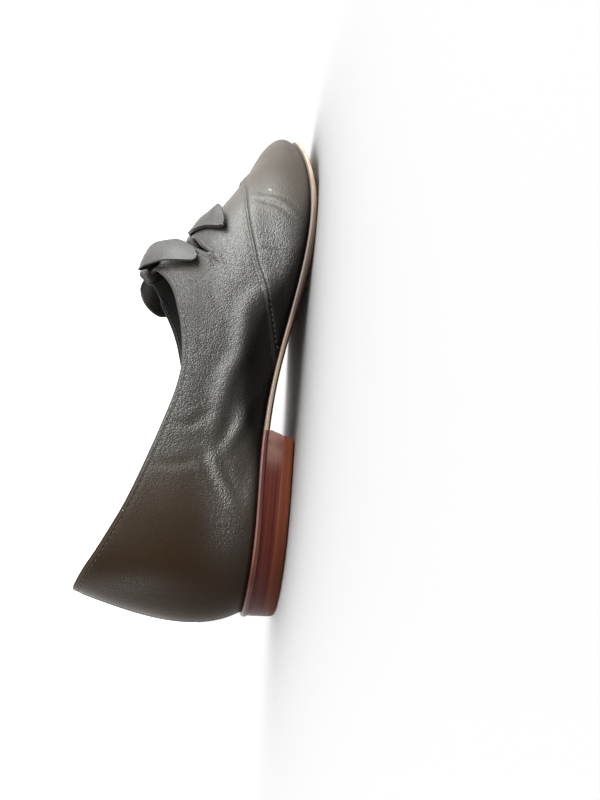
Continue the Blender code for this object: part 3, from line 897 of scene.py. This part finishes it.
class BottomLooks(bpy.types.PropertyGroup):
    """Colours of the sock, the sole and the heel."""

    tan: colour("Tan", "Rubbed sole leather", (0.28, 0.165, 0.1))
    edge: colour("Sole edge", "Trimmed edge of the sole", (0.2, 0.145, 0.1))
    edge_toe: colour("Toe edge", "Sole's edge where the toe is rubbed", (0.4, 0.31, 0.22))
    edge_dark: colour("Edge line", "Inked lines of the sole's edge", (0.05, 0.028, 0.018))
    waist: colour("Waist", "Burnished waist of the sole", (0.1, 0.042, 0.02))
    dirt: colour("Dirt", "Ground-in dirt", (0.085, 0.062, 0.047))
    mahogany: colour("Mahogany", "Stain of the heel's stack", (0.046, 0.0042, 0.0016))
    mahogany_pale: colour("Pale mahogany", "Rubbed stain", (0.08, 0.0155, 0.008))
    breast_tone: colour("Chalk", "Dull bloom at the heel's breast", (0.26, 0.16, 0.135))
    lift: colour("Lift", "Heel's bottom lift", (0.116, 0.027, 0.0105))
    lift_tread: colour("Lift tread", "Bare leather under the heel", (0.34, 0.145, 0.075))
    lift_dark: colour("Dark lift", "Darker layers of the lift", (0.07, 0.013, 0.0045))


class SHOE_OT_bottom(bpy.types.Operator):
    """Finishes the sock, the leather sole and the stacked heel"""

    bl_idname = "shoe.bottom"
    bl_label = "Sole and heel"

    def execute(self, context):
        looks = context.scene.flat_bottom
        self.sock()
        self.outsole(looks)
        self.heel(looks)
        return {"FINISHED"}

    @staticmethod
    def sock():
        """Lining leather that the foot stands on, pressed in under heel and ball."""
        bm = refined(copied("insole"), levels=2, fold=HARD_FOLD)
        points, normals = place_arrays(bm)
        heel = hump(np.hypot(points[:, 0] + 100, (points[:, 1] - MIDDLE_Y) * 1.2), 0, 20)
        ball = hump(np.hypot((points[:, 0] - 40) * 0.8, points[:, 1] - MIDDLE_Y), 0, 24)
        push(bm, -0.5 * (heel + ball) * (normals[:, 2] > 0.5), normals)
        finished("sock", bm, [bpy.data.materials["lining_leather"]], "lining_leather", "insole",
                 sharp=math.radians(40))

    @staticmethod
    def outsole(looks):
        """Leather sole with a trimmed edge that is darker along its top and bottom and has painted shade
        round the ball, a burnished waist and a scuffed tread.
        """
        bm = refined(copied("outsole"), levels=2, fold=HARD_FOLD)
        points, normals = place_arrays(bm)
        bounds = []
        for side in (-1, 1):
            flat = points[side * normals[:, 2] > 0.75]
            flat = flat[np.argsort(flat[:, 0])]
            bounds.append(np.interp(points[:, 0], flat[:, 0], flat[:, 2]))
        rise = np.clip((points[:, 2] - bounds[0]) / np.maximum(bounds[1] - bounds[0], 0.5), 0, 1)
        finish = Finish("sole_leather", ior=1.45, coat_weight=0.1, coat_roughness=0.35)
        up = finish.facing_up()
        along = finish.axis("X")
        streaks = finish.noise(220, detail=5, stretch=(0.12, 1, 1))
        edge = finish.mix(finish.spread(along, 0.04, 0.1), looks.edge, looks.edge_toe)
        edge = finish.mix(finish.spread(streaks, 0.35, 0.7, 0, 0.6), edge, looks.tan)
        height = finish.value("rise")
        # The edge is darker along its top and its bottom
        edge_bands = finish.maths("MAXIMUM", finish.spread(height, 0.7, 0.88), finish.spread(height, 0.16, 0.04))
        # Painted shade darkens the edge round the ball, broken up by noise
        ball = finish.maths("MULTIPLY", finish.spread(along, -0.035, 0.0), finish.spread(along, 0.09, 0.03))
        patchy = finish.spread(finish.noise(70, detail=5), 0.3, 0.6, 0.65, 0.95)
        painted_ball_shade = finish.maths("MULTIPLY", ball, patchy)
        edge = finish.mix(finish.maths("MAXIMUM", edge_bands, painted_ball_shade), edge, looks.edge_dark)
        stain = finish.mix(finish.spread(streaks, 0.35, 0.7), looks.mahogany, looks.mahogany_pale)
        edge = finish.mix(finish.spread(along, -0.0575, -0.0565), stain, edge)
        scuffs = finish.spread(finish.noise(110, detail=10, stretch=(0.5, 1, 1), distortion=0.3), 0.35, 0.9)
        tread = finish.mix(scuffs, looks.tan, looks.dirt)
        grit = finish.spread(finish.noise(900, detail=3), 0.6, 0.75)
        tread = finish.mix(finish.maths("MULTIPLY", grit, 0.5), tread, looks.dirt)
        burnish = finish.mix(finish.spread(streaks, 0.3, 0.8), looks.waist, looks.edge_dark)
        ragged = finish.maths("ADD", along, finish.maths("MULTIPLY", finish.noise(60), 0.03))
        under = finish.mix(finish.spread(ragged, 0.01, 0.045), burnish, tread)
        finish.paint(base_color=finish.mix(finish.spread(up, -0.75, -0.5), under, edge))
        finish.paint(roughness=finish.spread(ragged, 0.0, 0.05, 0.38, 0.62))
        bump = finish.bump(finish.noise(700, detail=6), 0.25, 0.0003)
        finish.paint(normal=finish.bump(streaks, 0.3, 0.0003, bump))
        finished("sole", bm, [finish.material], "sole_leather", "outsole", sharp=math.radians(30),
                 values={"rise": rise})

    @staticmethod
    def heel(looks):
        """Stained stack, paler towards its breast, and the paler lift under it."""
        stack = Finish(
            "heel_leather", ior=1.5, specular_ior_level=0.2, coat_weight=0.08, coat_roughness=0.25)
        layers = stack.noise(60, detail=6, stretch=(0.08, 0.08, 7))
        fibres = stack.noise(240, detail=5, stretch=(0.1, 0.1, 4))
        stain = stack.mix(stack.spread(layers, 0.4, 0.7), looks.mahogany, looks.mahogany_pale)
        stain = stack.mix(stack.spread(fibres, 0.5, 0.8, 0, 0.45), stain, looks.edge_dark)
        patchy = stack.spread(stack.noise(110, detail=5), 0.3, 0.7, 0.35, 1)
        # The stack turns paler towards its breast
        paler_breast = stack.maths("MULTIPLY", stack.spread(stack.axis("X"), -0.078, -0.058, 0, 0.6), patchy)
        stack.paint(base_color=stack.mix(paler_breast, stain, looks.breast_tone))
        stack.paint(roughness=stack.spread(fibres, 0.3, 0.7, 0.32, 0.48))
        stack.paint(normal=stack.bump(fibres, 0.35, 0.0003))
        lift = Finish(
            "lift_leather", ior=1.45, specular_ior_level=0.25, coat_weight=0.05, coat_roughness=0.3)
        layers = lift.noise(90, detail=6, stretch=(0.08, 0.08, 6))
        fibres = lift.noise(300, detail=5, stretch=(0.15, 0.15, 4))
        tone = lift.mix(lift.spread(layers, 0.4, 0.68), looks.lift, looks.lift_dark)
        darker = lift.spread(lift.axis("X"), -0.09, -0.115, 0, 0.55)
        tone = lift.mix(darker, tone, looks.lift_dark)
        scuffs = lift.spread(lift.noise(120, detail=10, distortion=0.3), 0.4, 0.95)
        tread = lift.mix(scuffs, looks.lift_tread, looks.dirt)
        tone = lift.mix(lift.spread(lift.facing_up(), -0.6, -0.8), tone, tread)
        lift.paint(base_color=tone)
        lift.paint(roughness=lift.spread(fibres, 0.3, 0.7, 0.42, 0.6))
        lift.paint(normal=lift.bump(fibres, 0.35, 0.0003))
        for name, node, finish, slot in (
            ("stack", "heel_stack", stack.material, "heel_leather"),
            ("lift", "heel_lift", lift.material, "lift_leather"),
        ):
            bm = refined(copied(node), levels=2, fold=HARD_FOLD)
            points, normals = place_arrays(bm)
            push(bm, HEEL_RAISE * (normals[:, 2] > 0.6), np.broadcast_to((0, 0, 1), points.shape))
            finished(name, bm, [finish], slot, node, sharp=math.radians(35))


class StudioLooks(bpy.types.PropertyGroup):
    """Floor, light and camera."""

    floor: colour("Floor", "Colour of the floor", (0.86, 0.86, 0.86))
    backdrop: FloatProperty(
        name="Backdrop", description="Light from behind the shoe", default=1.95, min=0)
    shade: FloatProperty(name="Shade", description="Light from behind the camera", default=0.14, min=0)
    key: FloatProperty(
        name="Key light", description="Power of the large light overhead", unit="POWER", default=13)
    fill: FloatProperty(
        name="Fill light", description="Power of the light over the heel", unit="POWER", default=4)
    fill_place: room_place("Fill place", "Place of the light over the heel", (-0.1, -0.35, 0.5))
    key_place: room_place("Key place", "Place of the large light", (0.42, -0.34, 0.4))
    lens: FloatProperty(name="Lens", description="Focal length of the camera", default=26.73, min=1)
    eye: room_place("Camera", "Place of the camera", (-0.14087, -0.25817, 0.0316))
    aim: room_place("Aim", "Place the camera looks at", (-0.03417, -0.00917, -0.0029))
    roll: FloatProperty(
        name="Roll", description="Turn of the camera from the toe pointing up", unit="ROTATION",
        default=math.radians(4.4))


class SHOE_OT_studio(bpy.types.Operator):
    """Lays the floor, hangs the lights and sets the camera"""

    bl_idname = "shoe.studio"
    bl_label = "Studio"

    def execute(self, context):
        looks = context.scene.flat_studio
        self.camera(context, looks)
        self.floor(context, looks)
        self.lights(context, looks)
        return {"FINISHED"}

    @staticmethod
    def camera(context, looks):
        """Sets the camera beside the heel, rolled so that the toe points up."""
        eye, aim = Vector(looks.eye), Vector(looks.aim)
        ahead = (aim - eye).normalized()
        right = ahead.cross(Vector((1, 0, 0))).normalized()
        up = right.cross(ahead)
        turned_right = right * math.cos(looks.roll) + up * math.sin(looks.roll)
        turned_up = up * math.cos(looks.roll) - right * math.sin(looks.roll)
        camera = bpy.data.objects.new("camera", bpy.data.cameras.new("camera"))
        camera.data.lens = looks.lens
        camera.data.clip_start = 0.01
        turn = Matrix((turned_right, turned_up, -ahead)).transposed().to_4x4()
        camera.matrix_world = Matrix.Translation(eye) @ turn
        context.scene.collection.objects.link(camera)
        context.scene.camera = camera

    @staticmethod
    def floor(context, looks):
        """Lays a wide round sheet of white paper."""
        bm = bmesh.new()
        bmesh.ops.create_circle(bm, cap_ends=True, segments=96, radius=6)
        mesh = bpy.data.meshes.new("floor")
        bm.to_mesh(mesh)
        bm.free()
        finish = Finish("floor_paper", roughness=0.8, base_color=tuple(looks.floor))
        mesh.materials.append(finish.material)
        floor = bpy.data.objects.new("floor", mesh)
        context.scene.collection.objects.link(floor)

    @staticmethod
    def lights(context, looks):
        """Makes a room that is bright behind the shoe, and two lamps that light only the shoe."""
        world = bpy.data.worlds.new("room")
        world.use_nodes = True
        nodes, links = world.node_tree.nodes, world.node_tree.links
        room = nodes["Background"]
        room.inputs["Color"].default_value = (1, 1, 1, 1)
        way = nodes.new("ShaderNodeTexCoord").outputs["Generated"]
        split = nodes.new("ShaderNodeSeparateXYZ")
        links.new(way, split.inputs["Vector"])
        blend = nodes.new("ShaderNodeMapRange")
        blend.interpolation_type = "SMOOTHSTEP"
        links.new(split.outputs["Y"], blend.inputs["Value"])
        for label, number in (
            ("From Min", -0.35), ("From Max", 0.15), ("To Min", looks.shade), ("To Max", looks.backdrop),
        ):
            blend.inputs[label].default_value = number
        links.new(blend.outputs["Result"], room.inputs["Strength"])
        context.scene.world = world
        context.scene.view_settings.view_transform = "Standard"
        lit = bpy.data.collections.new("lit")
        for name, power, size, place in (
            ("key", looks.key, (0.6, 0.4), Vector(looks.key_place)),
            ("fill", looks.fill, (0.5, 0.5), Vector(looks.fill_place)),
        ):
            lamp = bpy.data.lights.new(name, "AREA")
            lamp.energy = power
            lamp.color = LAMP_COLOUR
            lamp.shape = "RECTANGLE"
            lamp.size, lamp.size_y = size
            light = bpy.data.objects.new(name, lamp)
            turn = (Vector(LAMP_AIM) - place).to_track_quat("-Z", "Y").to_matrix().to_4x4()
            light.matrix_world = Matrix.Translation(place) @ turn
            context.scene.collection.objects.link(light)
            light.light_linking.receiver_collection = lit


class SHOE_PT_flat(bpy.types.Panel):
    """Steps that dress the shoe, in order"""

    bl_idname = "SHOE_PT_flat"
    bl_label = "Leather flat"
    bl_space_type = "VIEW_3D"
    bl_region_type = "UI"
    bl_category = "Flat"

    def draw(self, context):
        for step in STEPS:
            self.layout.operator(step.bl_idname)
        for label in SETTINGS:
            looks = getattr(context.scene, label)
            box = self.layout.box()
            for name in looks.__annotations__:
                box.prop(looks, name)


SETTINGS = {
    "flat_upper": UpperLooks, "flat_bows": BowLooks, "flat_bottom": BottomLooks, "flat_studio": StudioLooks,
}
STEPS = (SHOE_OT_studio, SHOE_OT_upper, SHOE_OT_bows, SHOE_OT_bottom)
CLASSES = (*SETTINGS.values(), *STEPS, SHOE_PT_flat)


def register():
    for cls in CLASSES:
        bpy.utils.register_class(cls)
    for label, looks in SETTINGS.items():
        setattr(bpy.types.Scene, label, PointerProperty(type=looks))


def unregister():
    for label in SETTINGS:
        delattr(bpy.types.Scene, label)
    for cls in reversed(CLASSES):
        bpy.utils.unregister_class(cls)


def main():
    register()
    bpy.ops.shoe.studio()
    bpy.ops.shoe.upper()
    bpy.ops.shoe.bows()
    bpy.ops.shoe.bottom()


if __name__ == "__main__":
    main()
